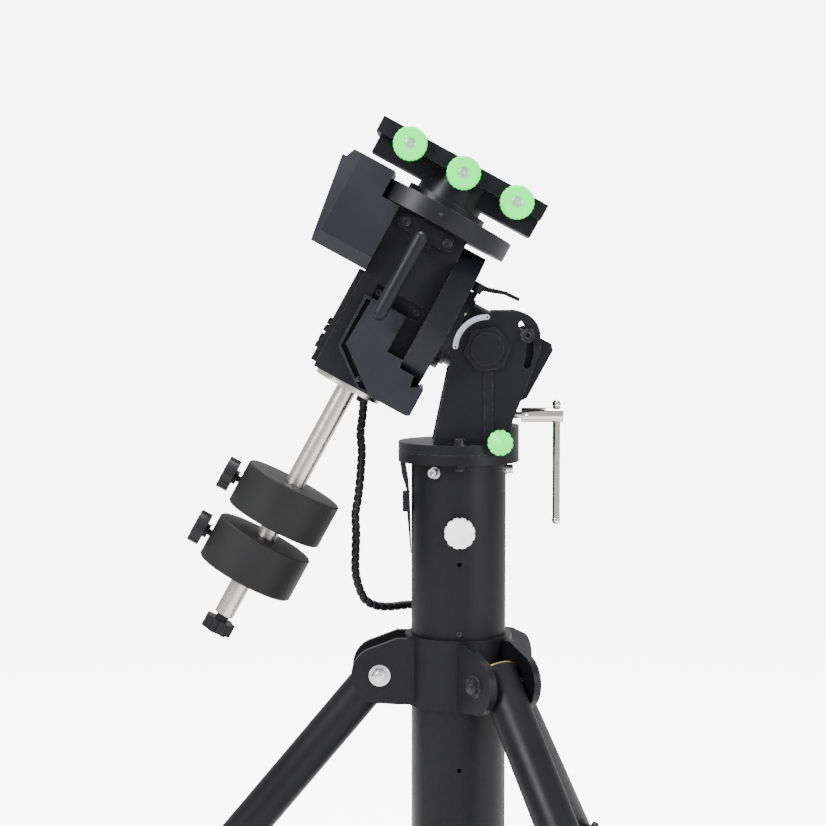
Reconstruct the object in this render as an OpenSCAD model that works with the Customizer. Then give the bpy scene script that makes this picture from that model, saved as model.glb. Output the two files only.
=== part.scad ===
// German equatorial head on a pier with three folding legs.
// Millimetres, +Z up. The origin is on the pier axis at floor level. +X is the low end of
// the polar axis, and -Y is the side that shows the carrying handle and the saddle knobs.

/* [Stand] */
// Outer diameter of the pier tube
pier_d = 145; // [144:0.5:146]
// Wall of the pier tube
pier_wall = 4; // [3:0.5:5]
// Outer diameter of a leg tube
leg_d = 61; // [58:1:62]
// Slope of an open leg below the horizontal
leg_slope = 50; // [49:0.5:51]
// Diameter of the head plates at the top of the pier
plate_d = 185; // [183:1:187]

/* [Head] */
// Tilt of the polar axis above the horizontal
latitude = 28.6; // [26:0.1:31]
// Height of the altitude pivot above the floor
pivot_z = 1007.4; // [1007:0.1:1009]
// Distance of the altitude pivot from the pier axis
pivot_x = 41.3; // [41:0.1:42]
// Diameter of the polar gear housing
ra_disc_d = 236; // [234:1:238]
// Diameter of the declination gear housing
dec_disc_d = 232; // [230:1:233]
// Length of the saddle
saddle_l = 271; // [260:1:280]
// Spacing of the saddle knobs
knob_pitch = 90; // [86:1:92]

/* [Counterweights] */
// Diameter of the counterweight shaft
shaft_d = 31; // [30:0.5:32]
// Diameter of a counterweight
weight_d = 155; // [150:1:158]
// Height of a counterweight
weight_h = 70; // [66:1:71]

/* [Cable] */
// Diameter of the spiral-wrapped cable
cable_d = 14; // [12:1:14]

/* [Hidden] */
$fn = 96;

// Stand
pier_r = pier_d / 2;
pier_bore = pier_r - pier_wall;
pier_bottom = 60;
pier_top = 834;
flange_h = 15;
plate_r = plate_d / 2;
side_screw_z = 821;
pier_knob_z = 732;
collar_r = 82;
collar_low = 461;
collar_high = 568;
leg_r = leg_d / 2;
leg_pivot = [121, 509];
leg_angles = [180, -60, 60];
ear_inner = 33;
ear_t = 12;
ear_r = 43;
leg_top_s = -20;
leg_end_s = 575;
foot_x = 505;
boss_high = 100;
foot_stem_r = 8.5;
hub_pin = [100, 120];
hub_low = 95;
hub_high = 145;
brace_lug_s = 450;
brace_bar_t = 6;
brace_inner = 41;
lug = leg_pivot + brace_lug_s * [cos(leg_slope), -sin(leg_slope)];
brace_l = norm(lug - hub_pin);
brace_rise = atan2(lug.y - hub_pin.y, lug.x - hub_pin.x);

// Azimuth base and yoke
yoke_low = 849.3;
yoke_floor = 864.5;
spigot_r = 30;
running = 0.05;
post_r = 6;
post_x = 60;
cheek_inner = 46;
cheek_outer = 62;
pin_r = 17;
cheek_eye_r = 52.4;
slot_arc_r = 64;
slot_r = 5.7;
lock_angle = 19;
azimuth_screw_z = 869;
azimuth_knob_y = 84;
crank_z = 904;
crank_r = 11.3;
bar_x = 150;
bar_r = 5.75;

// Head, in a frame at the altitude pivot: w runs down the polar axis, u up the other
ra_disc_r = ra_disc_d / 2;
dec_disc_r = dec_disc_d / 2;
housing_half = 44.5;
lever_w = -54;
axle_r = 24.95;
bearing_outer = 38;
wheel_r = 101;
worm_r = 9;
worm_gap = wheel_r + worm_r + 0.3;
dec_w = -157;
box_w0 = -217;
box_w1 = -103;
box_half = 66;
box_u0 = -146;
box_u1 = 126;
cover_front = 92;
cover_step = 8;
recess_depth = 10;
handle_u0 = -28;
handle_u1 = 96;
handle_y = -122;
handle_r = 11;
handle_plate_t = 8;
shaft_r = shaft_d / 2;
weight_r = weight_d / 2;
weight_upper_u = -394;
weight_lower_u = -488;
saddle_mid = -158.5;
saddle_front = 60;
saddle_w0 = saddle_mid - saddle_l / 2 - 7;
knob_u = 212;

function tangent(q, c, r, s) = let (
    v = c - q,
    d = norm(v),
    t = atan2(v.y, v.x) + s * asin(r / d)
) q + sqrt(d * d - r * r) * [cos(t), sin(t)];

// Cable route, chosen by hand: out of the head, down, round behind the pier
ROUTE = [
    [-141.3, 54, 940.3], [-146, 54, 926], [-149, 54, 897], [-152, 53, 871], [-150, 52, 846],
    [-151, 51, 822], [-153, 50, 796], [-156, 49, 770], [-160, 48, 745], [-159, 47, 716],
    [-160, 46, 681], [-160, 46, 655], [-155, 46, 632], [-146, 48, 612], [-130, 52, 601],
    [-108, 62, 597], [-84, 77, 597], [-62, 88, 597], [-42, 92, 597]
];
rings_per_span = 3;
head_down = [-sin(latitude), 0, -cos(latitude)];
cable_sides = 10;

function spline(i, t) = let (
    a = ROUTE[max(i - 1, 0)],
    b = ROUTE[i],
    c = ROUTE[i + 1],
    d = ROUTE[min(i + 2, len(ROUTE) - 1)]
) 0.5 * (2 * b + (c - a) * t + (2 * a - 5 * b + 4 * c - d) * t * t
    + (3 * b - a - 3 * c + d) * t * t * t);

function heading(i, t) = let (
    p = spline(i, max(t - 0.05, 0)),
    q = spline(i, min(t + 0.05, 1))
) (q - p) / norm(q - p);

function ring(c, h) = let (
    side = cross(h, [0.3, -1, 0.1]),
    x = side / norm(side),
    y = cross(h, x)
) [for (k = [0 : cable_sides - 1]) let (a = 360 * k / cable_sides)
    c + cable_d / 2 * (cos(a) * x + sin(a) * y)];

module cable_span(first, last, end_gap) {
    steps = (last - first) * rings_per_span;
    points = [for (n = [0 : steps]) let (
        i = min(first + floor(n / rings_per_span), last - 1),
        t = n == steps ? 1 - end_gap : (n - (i - first) * rings_per_span) / rings_per_span
    ) each ring(spline(i, t), i == 0 && t == 0 ? head_down : heading(i, t))];
    walls = [for (n = [0 : steps - 1], k = [0 : cable_sides - 1]) let (
        k2 = (k + 1) % cable_sides,
        a = n * cable_sides,
        b = a + cable_sides
    ) each [[a + k, b + k, a + k2], [a + k2, b + k, b + k2]]];
    start_cap = [for (k = [0 : cable_sides - 1]) k];
    end_cap = [for (k = [cable_sides - 1 : -1 : 0]) steps * cable_sides + k];
    color("#151515") polyhedron(points, concat([start_cap], walls, [end_cap]));
}

// Frames and shapes that repeat
module at_head() {
    translate([pivot_x, 0, pivot_z]) rotate([0, latitude, 0]) children();
}

module at_dec() {
    at_head() translate([dec_w, 0, 0]) children();
}

module rod_x(x0, x1, r, fn = 96) {
    translate([x0, 0, 0]) rotate([0, 90, 0]) cylinder(h = x1 - x0, r = r, $fn = fn);
}

module rod_y(y0, y1, r, fn = 96) {
    translate([0, y1, 0]) rotate([90, 0, 0]) cylinder(h = y1 - y0, r = r, $fn = fn);
}

module plate_xz(y0, y1) {
    translate([0, y1, 0]) rotate([90, 0, 0]) linear_extrude(y1 - y0) children();
}

module block(lo, hi) {
    translate(lo) cube(hi - lo);
}

module both_sides() {
    children();
    mirror([0, 1, 0]) children();
}

module ring_z(z0, z1, r_out, r_in) {
    difference() {
        translate([0, 0, z0]) cylinder(h = z1 - z0, r = r_out);
        translate([0, 0, z0 - 1]) cylinder(h = z1 - z0 + 2, r = r_in);
    }
}

// A lobed knob along +Z from z = 0, with a conical or a flat nose
module lobed_knob(r, h, lobes, nose) {
    difference() {
        union() {
            cylinder(h = h * 0.55, r = r);
            translate([0, 0, h * 0.55]) cylinder(h = h * 0.45, r1 = r, r2 = nose);
        }
        for (k = [0 : lobes - 1]) {
            rotate([0, 0, 360 * k / lobes])
                translate([r * 1.06, 0, -1]) cylinder(h = h + 2, r = r * 0.13, $fn = 24);
        }
    }
}

module cap_screw(head_r, head_h, shank_r, shank_l) {
    difference() {
        cylinder(h = head_h, r = head_r, $fn = 48);
        translate([0, 0, head_h * 0.4]) cylinder(h = head_h, r = head_r * 0.5, $fn = 6);
    }
    translate([0, 0, -shank_l]) cylinder(h = shank_l + 0.5, r = shank_r, $fn = 48);
}

// Stand
module pier_tube() {
    color("#262628") difference() {
        translate([0, 0, pier_bottom]) cylinder(h = pier_top - pier_bottom, r = pier_r);
        translate([0, 0, pier_bottom - 1]) cylinder(h = pier_top, r = pier_bore);
        for (a = [0, 120, 240]) {
            rotate([0, 0, a]) translate([0, 0, side_screw_z]) rod_x(50, 90, 4.1, 48);
        }
        translate([0, 0, pier_knob_z]) rod_y(-90, -50, 5 + running);
        for (z = [368, 683]) {
            translate([0, 0, z]) rod_y(-90, -50, 3.5, 48);
        }
    }
}

module pier_flange() {
    color("#2b2b2d") {
        difference() {
            union() {
                translate([0, 0, pier_top]) cylinder(h = flange_h, r = plate_r);
                translate([0, 0, 806]) cylinder(h = 29, r = pier_bore);
                translate([0, 0, pier_top]) cylinder(h = 28, r = spigot_r);
                translate([post_x, 0, pier_top + 1]) cylinder(h = 45, r = post_r);
            }
            translate([0, 0, 800]) cylinder(h = pier_top - 800, r = 50);
            translate([0, 0, 800]) cylinder(h = 80, r = 12);
            for (a = [0, 120, 240]) {
                rotate([0, 0, a]) translate([0, 0, side_screw_z]) rod_x(45, 90, 4, 48);
            }
            for (a = [90, 270]) {
                azimuth_slot(a);
            }
        }
    }
}

// Curved slot for an azimuth lock bolt
module azimuth_slot(a) {
    translate([0, 0, pier_top - 1]) linear_extrude(flange_h + 2) {
        intersection() {
            difference() {
                circle(r = 85.7);
                circle(r = 74.3);
            }
            rotate(a) polygon([[0, 0], [100, -23], [100, 23]]);
        }
    }
}

module pier_side_screws() {
    color("#c9c9c9") for (a = [0, 120, 240]) {
        rotate([0, 0, a]) translate([pier_r, 0, side_screw_z]) rotate([0, 90, 0]) {
            ring_z(0, 2, 9, 4);
            translate([0, 0, 2]) cap_screw(7, 9, 4, 20);
        }
    }
}

module collar_ear() {
    root_high = collar_high - 3;
    root_low = collar_low + 3;
    high = tangent([95, root_high], leg_pivot, ear_r, 1);
    low = tangent([95, root_low], leg_pivot, ear_r, -1);
    circle(r = ear_r + 0.3);
    translate(-leg_pivot) polygon([[66, root_low], [66, root_high], [95, root_high],
        high, leg_pivot, low, [95, root_low]]);
}

module leg_collar() {
    color("#2a2a2c") difference() {
        union() {
            translate([0, 0, collar_low]) cylinder(h = collar_high - collar_low, r = collar_r);
            for (a = leg_angles) {
                rotate([0, 0, a]) both_sides()
                    translate([leg_pivot.x, 0, leg_pivot.y])
                        plate_xz(ear_inner, ear_inner + ear_t) collar_ear();
            }
        }
        translate([0, 0, collar_low - 1]) cylinder(h = 200, r = pier_r);
        for (a = leg_angles) {
            rotate([0, 0, a]) translate([leg_pivot.x, 0, leg_pivot.y]) rod_y(-60, 60, 8);
        }
    }
}

module brace_hub() {
    color("#2a2a2c") difference() {
        union() {
            translate([0, 0, hub_low]) cylinder(h = hub_high - hub_low, r = 80);
            for (a = leg_angles) {
                rotate([0, 0, a]) both_sides() {
                    translate([hub_pin.x, 0, hub_pin.y]) rod_y(ear_inner, 40, 12);
                    block([60, ear_inner, hub_pin.y - 12], [hub_pin.x, 40, hub_pin.y + 12]);
                }
            }
        }
        translate([0, 0, hub_low - 1]) cylinder(h = 100, r = pier_r);
        for (a = leg_angles) {
            rotate([0, 0, a]) translate([hub_pin.x, 0, hub_pin.y]) rod_y(-60, 60, 6);
        }
    }
}

module leg_bolts() {
    color("#b9b9bb") for (a = leg_angles) {
        rotate([0, 0, a]) {
            translate([leg_pivot.x, 0, leg_pivot.y]) {
                rod_y(-ear_inner - ear_t, ear_inner + ear_t + 12, 8);
                rod_y(-ear_inner - ear_t - 9, -ear_inner - ear_t, 12, 6);
                rod_y(ear_inner + ear_t, ear_inner + ear_t + 9, 12, 6);
            }
            translate([hub_pin.x, 0, hub_pin.y]) {
                rod_y(-48, 48, 6);
                rod_y(-51, -48, 9);
                rod_y(48, 51, 9);
            }
        }
    }
}

module leg(a) {
    color("#262628") rotate([0, 0, a]) difference() {
        union() {
            translate([leg_pivot.x, 0, leg_pivot.y]) rotate([0, 90 + leg_slope, 0]) {
                difference() {
                    translate([0, 0, leg_top_s]) cylinder(h = leg_end_s - leg_top_s, r = leg_r);
                    translate([0, 0, 20]) cylinder(h = leg_end_s - 24, r = leg_r - 3);
                }
                translate([0, 0, brace_lug_s]) rod_y(-40, 40, 6);
            }
            translate([foot_x, 0, 34]) cylinder(h = boss_high - 34, r = 19);
        }
        translate([leg_pivot.x, 0, leg_pivot.y]) rod_y(-50, 50, 8 + running);
        translate([foot_x, 0, 0]) cylinder(h = boss_high - 4, r = foot_stem_r + running);
    }
}

module foot(a) {
    color("#1c1c1c") rotate([0, 0, a]) translate([foot_x, 0, 0]) {
        cylinder(h = 10, r = 38);
        translate([0, 0, 10]) cylinder(h = 6, r1 = 38, r2 = 20);
        translate([0, 0, 15]) cylinder(h = 76, r = foot_stem_r);
        translate([0, 0, 20]) cylinder(h = 8, r = 15, $fn = 6);
    }
}

module brace(a) {
    color("#2a2a2c") rotate([0, 0, a]) translate([hub_pin.x, 0, hub_pin.y])
        rotate([0, -brace_rise, 0]) {
            both_sides() plate_xz(brace_inner, brace_inner + brace_bar_t) brace_bar();
            translate([62, 0, 0]) rod_y(-brace_inner - 1, brace_inner + 1, 5);
        }
}

module brace_bar() {
    difference() {
        union() {
            circle(r = 10);
            translate([brace_l, 0]) circle(r = 12);
            translate([0, -8]) square([brace_l, 16]);
        }
        circle(r = 6 + running);
        translate([brace_l, 0]) circle(r = 8);
    }
}

module cable_junction() {
    color("#202022") difference() {
        union() {
            block([-28, 50, 572], [28, 112, 622]);
            translate([0, 92, 597]) rod_x(-42, -27, 11);
        }
        translate([0, 0, 560]) cylinder(h = 80, r = pier_r);
    }
}

module cable_strap() {
    color("#161616") {
        plate_xz(-8, 8) polygon([[-90, 834], [-82, 834], [-77, 805], [-74.5, 770],
            [-72.5, 692], [-74, 692], [-79, 752], [-80, 790], [-87, 812]]);
        block([-86, -10, 756], [-75, 10, 787]);
    }
}

module pier_knob() {
    color("#e9e9ea") translate([0, -76, pier_knob_z]) rotate([90, 0, 0]) {
        lobed_knob(23, 24, 12, 3);
        translate([0, 0, -20]) cylinder(h = 21, r = 5);
    }
}

// Azimuth body
module cheek_outline() {
    translate([pivot_x, pivot_z]) circle(r = cheek_eye_r);
    translate([83, 1026]) circle(r = 38.3);
    polygon([[-41, 860], [-12, 1000], [41, 1010], [41, 1061], [52, 1064], [83, 1064], [121, 1026],
        [121, 1003.5], [78, 894.5], [78, 860]]);
}

module arc_slot_outline() {
    translate([pivot_x, pivot_z]) {
        intersection() {
            difference() {
                circle(r = slot_arc_r + slot_r);
                circle(r = slot_arc_r - slot_r);
            }
            polygon([[0, 0], 100 * [cos(-22), sin(-22)], [110, 0], 100 * [cos(35), sin(35)]]);
        }
        for (a = [-22, 35]) {
            rotate(a) translate([slot_arc_r, 0]) circle(r = slot_r - 0.2);
        }
    }
}

module ring_relief_outline() {
    translate([pivot_x, pivot_z]) intersection() {
        difference() {
            circle(r = 96);
            circle(r = 46.6);
        }
        polygon([[0, 0], [80, 140], [-140, 140], [-140, -100]]);
    }
}

module altaz_yoke() {
    color("#303033") difference() {
        union() {
            translate([0, 0, yoke_low]) cylinder(h = yoke_floor - yoke_low, r = plate_r);
            both_sides() {
                difference() {
                    plate_xz(cheek_inner, cheek_outer) cheek_outline();
                    plate_xz(cheek_inner - 1, 57) ring_relief_outline();
                }
                block([37, cheek_outer - 1, yoke_floor - 1], [50, cheek_outer + 4, 975]);
            }
            block([66, -cheek_inner - 1, yoke_floor - 1], [80, cheek_inner + 1, 913]);
            intersection() {
                translate([0, 0, yoke_floor - 1]) cylinder(h = 26, r = plate_r);
                block([66, -70, yoke_floor - 1], [plate_r, 70, 889]);
            }
        }
        translate([0, 0, yoke_low - 1]) cylinder(h = 30, r = spigot_r + running);
        block([post_x - 8, -16, yoke_low - 1], [post_x + 8, 16, 885]);
        translate([0, 0, yoke_low - 20]) for (s = [-1, 1]) {
            translate([0, 80 * s, 0]) cylinder(h = 60, r = 5.2);
        }
        translate([pivot_x, 0, pivot_z]) rod_y(-70, 70, pin_r + running);
        plate_xz(-70, 70) arc_slot_outline();
        translate([post_x, 0, azimuth_screw_z]) {
            rod_y(-100, -15, 5 + running);
            rod_y(15, 100, 5 + running);
        }
        translate([0, 0, crank_z]) rod_x(60, 90, 5 + running);
    }
}

module hex_covers() {
    color("#323236") translate([pivot_x, 0, pivot_z]) both_sides() {
        plate_xz(cheek_outer, cheek_outer + 8) rotate(10) circle(r = 36, $fn = 6);
        translate([0, cheek_outer + 11, 0]) rotate([90, 0, 0]) cylinder(h = 4, r = 24.5);
    }
}

module latitude_scale() {
    color("#b4b4be") translate([pivot_x, 0, pivot_z]) plate_xz(-cheek_outer - 1.5, -cheek_outer)
        difference() {
            union() {
                intersection() {
                    difference() {
                        circle(r = 52);
                        circle(r = 44);
                    }
                    polygon([[0, 0], [0, 80], [-80, 80], [-80, 5.6]]);
                }
                for (a = [90, 176]) {
                    rotate(a) translate([48, 0]) circle(r = 3.7);
                }
            }
            for (a = [90, 176]) {
                rotate(a) translate([48, 0]) circle(r = 1.6, $fn = 24);
            }
        }
}

module yoke_bolts() {
    color("#1d1d1f") for (s = [-1, 1]) {
        translate([0, 80 * s, yoke_floor]) {
            cylinder(h = 2, r = 9);
            translate([0, 0, 2]) cylinder(h = 8, r = 8, $fn = 6);
            translate([0, 0, -39]) cylinder(h = 40, r = 5);
            translate([0, 0, -38.8]) cylinder(h = 8, r = 7, $fn = 6);
        }
    }
}

module azimuth_knob(side) {
    color("#58e878") translate([post_x, side * azimuth_knob_y, azimuth_screw_z]) rotate([-90 * side, 0, 0]) {
        lobed_knob(19, 24, 12, 2.5);
        translate([0, 0, -67.5]) cylinder(h = 68.5, r = 5);
    }
}

module altitude_crank() {
    color("#b8b4ae") translate([0, 0, crank_z]) difference() {
        union() {
            rod_x(96, 160, crank_r);
            rod_x(66, 97, 5);
        }
        translate([bar_x, 0, -20]) cylinder(h = 40, r = bar_r + running);
        translate([104, 0, 0]) rod_y(-20, 20, 2.5, 48);
    }
}

module tommy_bar() {
    color("#b8b4ae") translate([bar_x, 0, 0]) {
        translate([0, 0, 744]) cylinder(h = 176, r = bar_r);
        for (z = [742, 921]) {
            translate([0, 0, z]) sphere(r = 6.6);
        }
    }
}

// Altitude body
module end_box_outline() {
    polygon([[40, -53], [78, -53], [89, -36], [89, 45], [82, 53], [40, 53]]);
}

module ra_housing() {
    color("#1f1f22") at_head() difference() {
        union() {
            intersection() {
                rod_x(-47, 60, 52);
                block([-50, -housing_half, -60], [90, housing_half, 60]);
            }
            plate_xz(-housing_half, housing_half) end_box_outline();
            rod_x(-64, -53, 65);
            rod_x(-53, -47, 55.5);
        }
        rod_x(-70, 76, 30);
        rod_x(-44, -30, bearing_outer);
        rod_x(56, 70, bearing_outer);
        rod_y(-50, 50, pin_r);
        rotate([0, -latitude - lock_angle, 0]) translate([slot_arc_r, 0, 0]) rod_y(-50, 50, 5);
        translate([lever_w, 0, 40]) cylinder(h = 40, r = 4 + running);
        block([84, -28, -30], [90, 28, 36]);
    }
}

module altitude_pins() {
    color("#1a1a1b") at_head() both_sides() {
        rod_y(32, 61.4, pin_r);
        rotate([0, -latitude - lock_angle, 0]) translate([slot_arc_r, 0, 0]) {
            rod_y(34, 66, 5);
            translate([0, 62.2, 0]) rotate([-90, 0, 0]) {
                ring_z(0, 2, 11, 5);
                translate([0, 0, 2]) cap_screw(9, 9, 5, 1);
            }
        }
    }
}

module ra_bearings() {
    color("#c8c8ca") at_head() for (w = [-44, 56]) {
        translate([w, 0, 0]) rotate([0, 90, 0]) ring_z(0, 14, bearing_outer, 25);
    }
}

module worm_wheel(z0, z1, hub_top) {
    ring_z(z0, z1, wheel_r, 26);
    ring_z(z1, hub_top, 38, 26);
}

module ra_worm_wheel() {
    color("#b08d46") at_head() translate([-88, 0, 0]) rotate([0, 90, 0]) worm_wheel(0, 12, 24);
}

module ra_clutch_lever() {
    color("#232325") at_head() translate([lever_w, 0, 0]) {
        translate([0, 0, 50]) cylinder(h = 22, r = 4);
        translate([0, 0, 66]) cylinder(h = 5, r = 8);
        translate([0, 0, 71]) cylinder(h = 11, r = 9);
        plate_xz(-5, 5) polygon([[4, 73], [8, 73], [24, 78], [40, 84], [64, 85.5], [64, 91],
            [40, 90], [12, 82], [4, 82]]);
    }
}

// Body that turns on the polar axis
module ra_shaft() {
    color("#bdbdbf") at_head() difference() {
        rod_x(box_w1 - 12, 74, axle_r);
        rod_x(box_w1 - 13, 75, 15);
    }
}

module ra_disc() {
    color("#2a2a2d") at_head() difference() {
        rod_x(box_w1, -64.6, ra_disc_r);
        rod_x(-91, -73, wheel_r + 5);
        rod_x(-74, -60, 42);
        rod_x(box_w1 - 1, -60, axle_r);
        block([-95, -48, -130], [-69, 48, -95]);
    }
}

module dec_housing() {
    color("#2e2e31") at_head() difference() {
        block([box_w0, -box_half, box_u0], [box_w1, box_half, box_u1]);
        translate([dec_w, 0, box_u0 - 1]) cylinder(h = 400, r = shaft_r);
        translate([dec_w, 0, -112]) cylinder(h = 400, r = 30);
        for (u = [-96, 104]) {
            translate([dec_w, 0, u]) cylinder(h = 14, r = bearing_outer);
        }
        translate([-128, 54, box_u0 - 1]) cylinder(h = 30, r = 4);
        block([-190, -box_half - 1, -15], [-112, -box_half + recess_depth, 8]);
        rod_x(box_w1 - 12, box_w1 + 1, axle_r);
    }
}

module drive_cover_outline() {
    polygon([[-199, -15], [-199, -101], [-142, -145], [-60, -145], [-55, -141], [-55, -99.5],
        [-63, -97], [-75, -105], [-78, -87], [-102.5, -86.5], [-107, -29], [-112, -15]]);
}

module drive_cover_inside() {
    polygon([[-195, -19], [-195, -99], [-141, -141], [-61, -141], [-59, -139], [-59, -104],
        [-64, -102], [-79, -111], [-82, -91], [-107, -90], [-111, -30], [-115, -19]]);
}

module drive_cover_face() {
    polygon([[-187, -15], [-190, -92], [-122, -145], [-60, -145], [-55, -141], [-55, -60],
        [-107, -15]]);
}

module ra_drive_cover() {
    color("#3c3c41") at_head() difference() {
        union() {
            plate_xz(-cover_front + cover_step, -box_half) drive_cover_outline();
            intersection() {
                plate_xz(-cover_front, -box_half) drive_cover_outline();
                plate_xz(-cover_front, -box_half) drive_cover_face();
            }
            block([box_w1 + 0.4, -box_half - 1, -145], [-55, 60, -99]);
        }
        plate_xz(-cover_front + 4, -box_half + 1) drive_cover_inside();
        block([box_w1 + 4.4, -box_half - 2, -141], [-68, 56, -90]);
        rod_x(-130, -60, ra_disc_r + 0.2);
    }
}

module carry_handle() {
    color("#303036") at_head() difference() {
        union() {
            plate_xz(-box_half - handle_plate_t, -box_half) handle_plate();
            translate([-167, 0, handle_u1]) rod_y(handle_y, -box_half - 7, handle_r);
            translate([-167, handle_y, handle_u0])
                cylinder(h = handle_u1 - handle_u0, r = handle_r);
            for (u = [handle_u0, handle_u1]) {
                translate([-167, handle_y, u]) sphere(r = handle_r);
            }
            translate([-167, 0, -3.5]) rod_y(handle_y, -box_half + recess_depth, 9);
        }
        for (w = [-198, -128]) {
            translate([w, 0, 109]) rod_y(-box_half - 9, -box_half + 1, 4, 48);
        }
    }
}

module handle_plate() {
    translate([-198, 97]) square([70, 24]);
    for (w = [-198, -128]) {
        translate([w, 109]) circle(r = 12);
    }
    translate([-183, 84]) square([34, 20]);
}

module head_screws() {
    color("#1b1b1d") at_head() {
        for (w = [-198, -128]) {
            translate([w, -box_half - handle_plate_t, 109]) rotate([90, 0, 0])
                cap_screw(7, 5, 4, handle_plate_t);
        }
        translate([-148, -cover_front + cover_step, -130.5]) rotate([90, 0, 0])
            cap_screw(4, 3, 2, 0);
        for (w = [-183, -119]) {
            translate([w, -box_half + recess_depth, -4]) rotate([90, 0, 0])
                cap_screw(5, 5, 2, 0);
        }
    }
}

module connector_panel() {
    color("#121213") at_head() {
        block([box_w0 - 9, -52, -140], [box_w0, 52, 14]);
        for (u = [-117, -105, -90, -78], y = [-30, 0, 30]) {
            translate([0, y, u]) rod_x(box_w0 - 14, box_w0 - 8, 4.5, 6);
        }
    }
}

module worm(l) {
    cylinder(h = l, r = worm_r, center = true);
    cylinder(h = l + 20, r = 4, center = true);
}

module worm_shafts() {
    color("#c4c4c6") at_head() {
        translate([-82, 0, -worm_gap]) rotate([90, 0, 0]) worm(50);
        translate([dec_w - worm_gap, 0, 140]) rotate([90, 0, 0]) worm(50);
    }
}

module drive_motors() {
    color("#3a3a3a") at_head() {
        block([-180, -86, -80], [-138, -68, -38]);
        translate([-159, 0, -60]) rod_y(-87, -85, 8, 48);
        block([-300, -22, 60], [-258, 22, 104]);
        translate([-279, 0, 82]) rod_y(22, 34, 8, 48);
        block([-226, -40, 30], [-222, 40, 110]);
    }
}

module dec_disc() {
    color("#2c2c2f") at_dec() difference() {
        translate([0, 0, box_u1]) cylinder(h = 29, r = dec_disc_r);
        translate([0, 0, 130.5]) cylinder(h = 19, r = wheel_r + 3);
        translate([0, 0, box_u1 - 1]) cylinder(h = 40, r = 42);
        block([-worm_gap - 13, -48, 129], [-90, 48, 151]);
    }
}

module dec_cover_solid(t) {
    intersection() {
        plate_xz(-90 + t, 90 - t) polygon([[-329 + t, 152], [-322 + t, 152], [-316 + t, 166 - t],
            [-247 - t, 166 - t], [-247 - t, 124 - t], [-217 - t, 124 - t], [-217 - t, 17 + t],
            [-309 + t, 17 + t]]);
        translate([0, 0, 17]) linear_extrude(160) polygon([[-217, -90 + t], [-240, -90 + t],
            [-303, -90 + t], [-329 + t, -66], [-329 + t, 66], [-303, 90 - t], [-217, 90 - t]]);
        translate([-340, 0, 0]) rotate([90, 0, 90]) linear_extrude(140) polygon([
            [-76, 17 + t], [-90 + t, 37], [-90 + t, 200], [90 - t, 200], [90 - t, 37],
            [76, 17 + t]]);
    }
}

module dec_drive_cover() {
    color("#3c3c41") at_head() difference() {
        dec_cover_solid(0);
        dec_cover_solid(3);
        translate([dec_w, 0, box_u1 - 0.2]) cylinder(h = 29.4, r = dec_disc_r + 0.2);
        translate([dec_w, 0, 155]) cylinder(h = 20, r = 70);
    }
}

module dec_bearings() {
    color("#c8c8ca") at_dec() for (u = [-96, 104]) {
        ring_z(u, u + 14, bearing_outer, 25);
    }
}

module weight_shaft() {
    color("#a9a49c") at_dec() difference() {
        translate([0, 0, -554]) cylinder(h = 438, r = shaft_r);
        translate([0, 0, -555]) cylinder(h = 26, r = 5);
    }
}

module shaft_disc() {
    color("#c9c6c0") at_dec() ring_z(-155, box_u0, 53.5, shaft_r);
}

// Counterweights, each with a clamp screw on the side away from the pier
module weight(u) {
    color("#1e1e1f") at_dec() translate([0, 0, u]) difference() {
        union() {
            cylinder(h = 2, r1 = weight_r - 2, r2 = weight_r);
            translate([0, 0, 2]) cylinder(h = weight_h - 4, r = weight_r);
            translate([0, 0, weight_h - 2]) cylinder(h = 2, r1 = weight_r, r2 = weight_r - 2);
        }
        translate([0, 0, -1]) cylinder(h = weight_h + 2, r = shaft_r + 0.08);
        translate([0, 0, weight_h / 2]) rod_x(-weight_r - 5, -10, 5 + running);
    }
}

module weight_knob(u) {
    color("#151516") at_dec() translate([-weight_r - 10, 0, u + weight_h / 2])
        rotate([0, -90, 0]) {
            difference() {
                cylinder(h = 18, r = 26);
                for (k = [0 : 6]) {
                    rotate([0, 0, 360 * (k + 0.5) / 7])
                        translate([31, 0, -1]) cylinder(h = 20, r = 10, $fn = 32);
                }
            }
            translate([0, 0, -66]) cylinder(h = 67, r = 5);
            translate([0, 0, -6]) cylinder(h = 7, r = 11);
        }
}

module shaft_end_knob() {
    color("#151516") at_dec() translate([0, 0, -554.3]) rotate([180, 0, 0]) {
        translate([0, 0, -22]) cylinder(h = 23, r = 4.95);
        cylinder(h = 10, r = 10);
        difference() {
            translate([0, 0, 9]) cylinder(h = 20, r = 24.5);
            for (k = [0 : 6]) {
                rotate([0, 0, 360 * (k + 0.5) / 7])
                    translate([29.5, 0, 8]) cylinder(h = 22, r = 9.5, $fn = 32);
            }
        }
    }
}

// Body that turns on the declination axis
module dec_shaft() {
    color("#1f1f21") at_dec() difference() {
        union() {
            translate([0, 0, -100]) cylinder(h = 260, r = axle_r);
            translate([0, 0, 155.4]) cylinder(h = 10.6, r = 64);
            translate([0, 0, 165]) cylinder(h = 41, r = 52);
        }
        translate([0, 0, -101]) cylinder(h = 300, r = 15);
    }
}

module dec_worm_wheel() {
    color("#b08d46") at_dec() {
        ring_z(134, 146, wheel_r, axle_r);
        ring_z(146, 155.4, 40, axle_r);
    }
}

module along_saddle() {
    translate([saddle_w0, 0, 0]) rotate([90, 0, 90]) linear_extrude(saddle_l + 7) children();
}

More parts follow.
